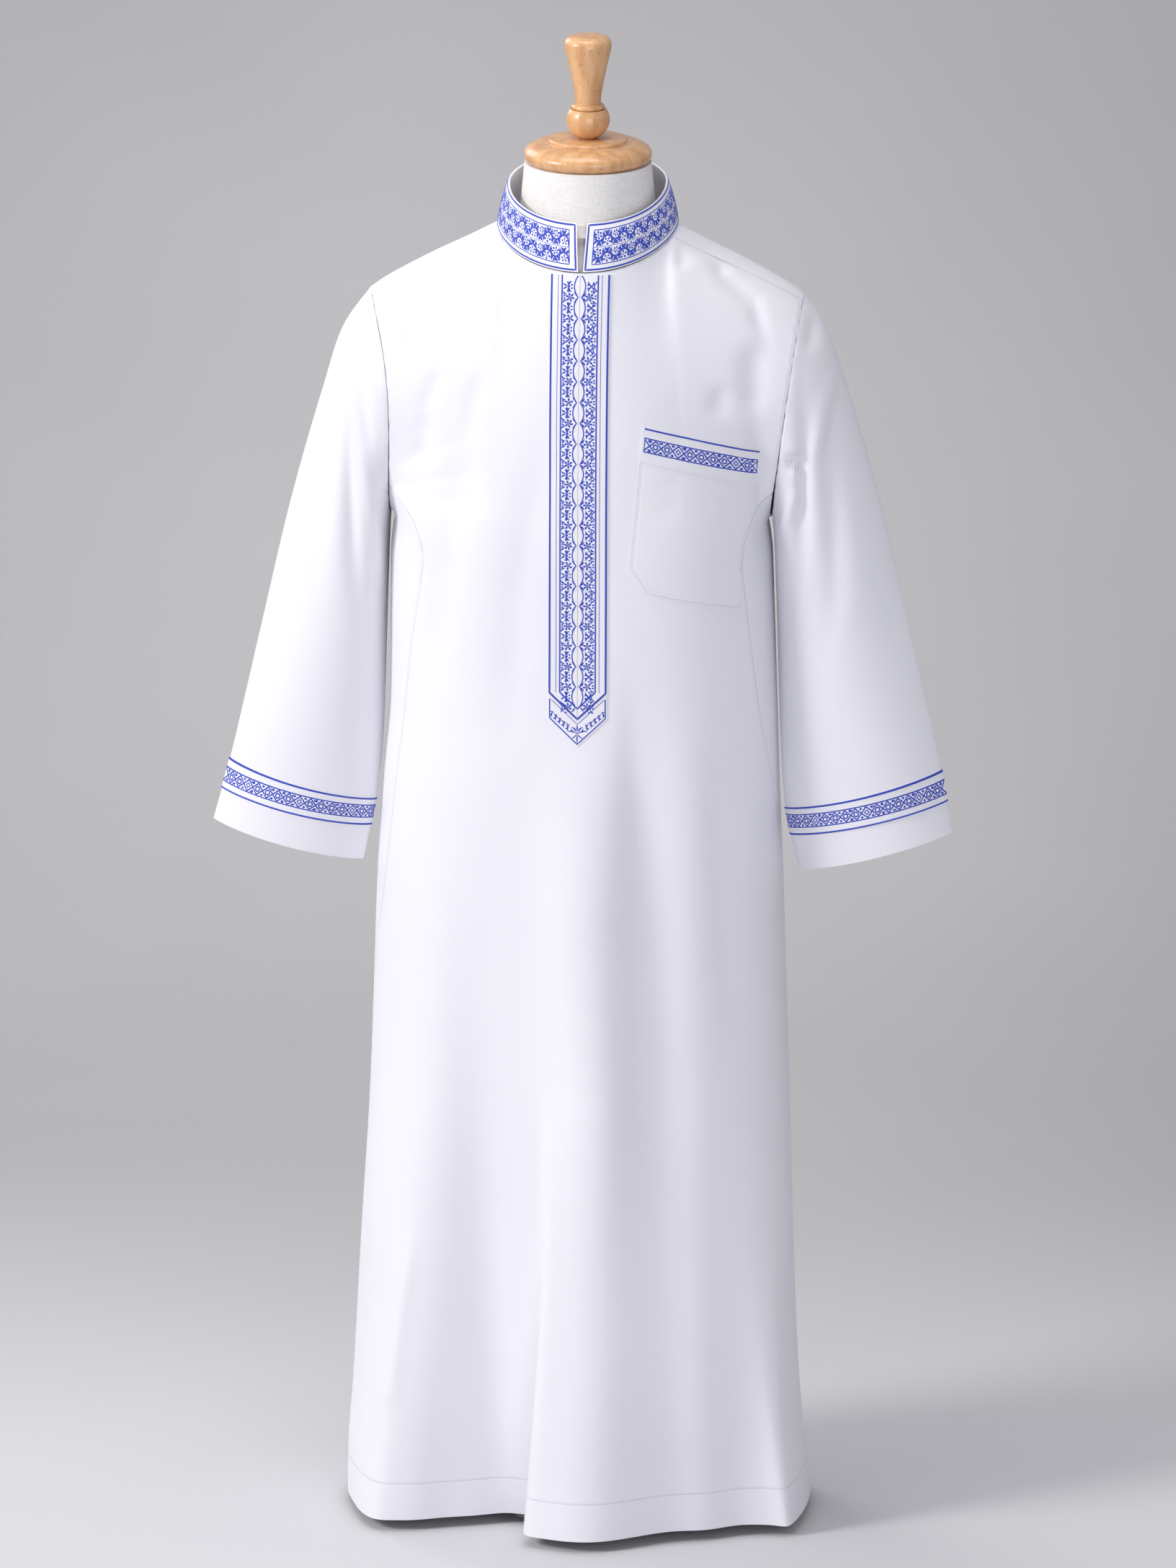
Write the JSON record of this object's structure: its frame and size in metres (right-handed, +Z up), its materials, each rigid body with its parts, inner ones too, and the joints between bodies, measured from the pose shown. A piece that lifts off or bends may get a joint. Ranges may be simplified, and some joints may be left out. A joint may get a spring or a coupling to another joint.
{
  "type": "thobe robe on dress form",
  "caption": "Ankle-length robe with stand collar, embroidered placket, cuffs and chest pocket, filled out on a limbless dress form with a turned wooden cap",
  "frame": {"origin": "centre of the base's underside, on the floor", "axes": "+Z up; front of the robe towards -Y; +X to the wearer's left"},
  "size_m": [0.7609, 0.3185, 1.563],
  "materials": {
    "robe_cloth": "fine white twill with a soft satin sheen",
    "embroidery": "cobalt blue thread worked on the white cloth",
    "linen": "off-white plain linen stretched over the form",
    "varnished_wood": "light beech under gloss varnish",
    "white_steel": "smooth white powder coat"
  },
  "bodies": {
    "root": {"front": "robe_cloth", "back": "robe_cloth", "side_panel_left": "robe_cloth", "side_panel_right": "robe_cloth", "sleeve_left": "robe_cloth", "sleeve_right": "robe_cloth", "collar": "robe_cloth", "pocket": "robe_cloth", "placket_left": "embroidery", "placket_right": "embroidery", "placket_tip": "embroidery", "pocket_trim": "embroidery", "cuff_trim_left": "embroidery", "cuff_trim_right": "embroidery", "dress_form": "linen", "neck_cap": "varnished_wood", "finial": "varnished_wood", "pole": "white_steel", "base": "white_steel"}
  },
  "joints": []
}
